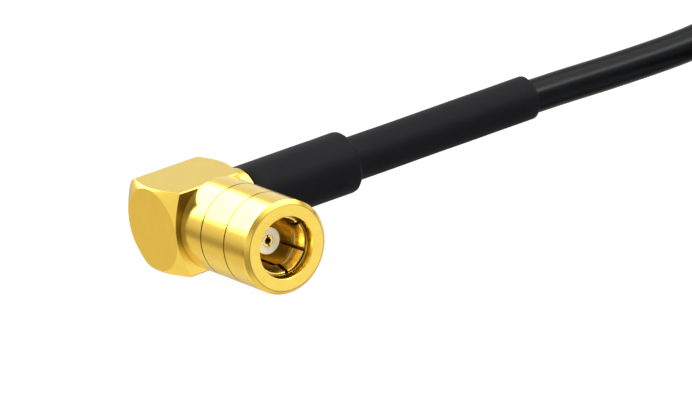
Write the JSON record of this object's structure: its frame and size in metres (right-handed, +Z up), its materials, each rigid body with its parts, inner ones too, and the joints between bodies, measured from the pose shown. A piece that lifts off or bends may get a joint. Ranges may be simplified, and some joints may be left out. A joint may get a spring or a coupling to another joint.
{
  "type": "rf cable assembly",
  "caption": "Coaxial jumper cable with a gold-plated right-angle push-on plug and a stepped shrink sleeve at each end.",
  "frame": {"origin": "centre of the near plug's mouth, on its front face", "axes": "+X out of the near plug's mouth, +Y along the cable where it leaves that plug, +Z up; both plugs lie on their barrels"},
  "size_m": [0.0285, 0.1226, 0.0072],
  "materials": {
    "gold_block": "satin gold plate",
    "gold_barrel": "bright turned gold plate",
    "gold_spring": "bright gold plate",
    "gold_contact": "bright gold plate",
    "gold_ferrule": "satin gold plate",
    "white_insulator": "waxy",
    "white_core": "waxy",
    "tinned_braid": "woven tinned wire",
    "copper_wire": "bright",
    "shrink_black": "matte",
    "cable_black": "satin"
  },
  "bodies": {
    "root": {"body_block": "gold_block", "barrel_shell": "gold_barrel", "spring_sleeve": "gold_spring", "front_insulator": "white_insulator", "center_contact": "gold_contact", "access_cap": "gold_block", "crimp_ferrule": "gold_ferrule", "shrink_sleeve": "shrink_black", "cable_braid": "tinned_braid", "cable_dielectric": "white_core", "cable_wire": "copper_wire", "far_body_block": "gold_block", "far_barrel_shell": "gold_barrel", "far_spring_sleeve": "gold_spring", "far_front_insulator": "white_insulator", "far_center_contact": "gold_contact", "far_access_cap": "gold_block", "far_crimp_ferrule": "gold_ferrule", "far_shrink_sleeve": "shrink_black", "far_cable_braid": "tinned_braid", "far_cable_dielectric": "white_core", "far_cable_wire": "copper_wire", "cable_lead": "cable_black", "cable_coil": "cable_black", "cable_tail": "cable_black"}
  },
  "joints": []
}
